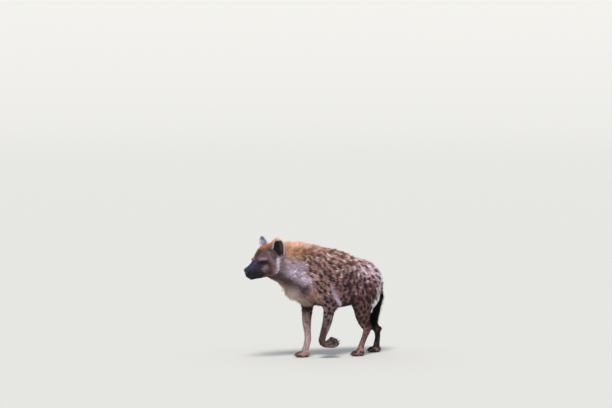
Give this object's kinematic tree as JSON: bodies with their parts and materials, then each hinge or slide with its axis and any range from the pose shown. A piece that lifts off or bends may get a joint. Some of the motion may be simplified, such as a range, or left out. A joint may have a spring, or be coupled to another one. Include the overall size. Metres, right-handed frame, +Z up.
{
  "type": "spotted hyena",
  "caption": "Life-size spotted hyena in mid-stride, a forepaw lifted and folded back, ears up, with a bristly crest and a tail brush.",
  "frame": {"origin": "on the floor, under the middle of the bounding box", "axes": "-X is the way the animal walks, -Y is its left side and +Z is up"},
  "size_m": [1.3332, 0.3154, 0.9147],
  "materials": {
    "coat": "short buff fur with dark brown spots, coarser and gingery along the crest",
    "face": "very short brown fur, blackish on the muzzle",
    "ear": "dark inside with a pale furred rim",
    "eye": "wet, near black",
    "brush": "long black-brown hair",
    "paw": "short dark fur over leathery pads, horn claws"
  },
  "bodies": {
    "root": {"torso": "coat", "neck": "coat", "head": "face", "ear_left": "ear", "ear_right": "ear", "eye_left": "eye", "eye_right": "eye", "tail": "brush", "foreleg_left": "coat", "foreleg_right": "coat", "hindleg_left": "coat", "hindleg_right": "coat", "forepaw_left": "paw", "forepaw_right": "paw", "hindpaw_left": "paw", "hindpaw_right": "paw"}
  },
  "joints": []
}
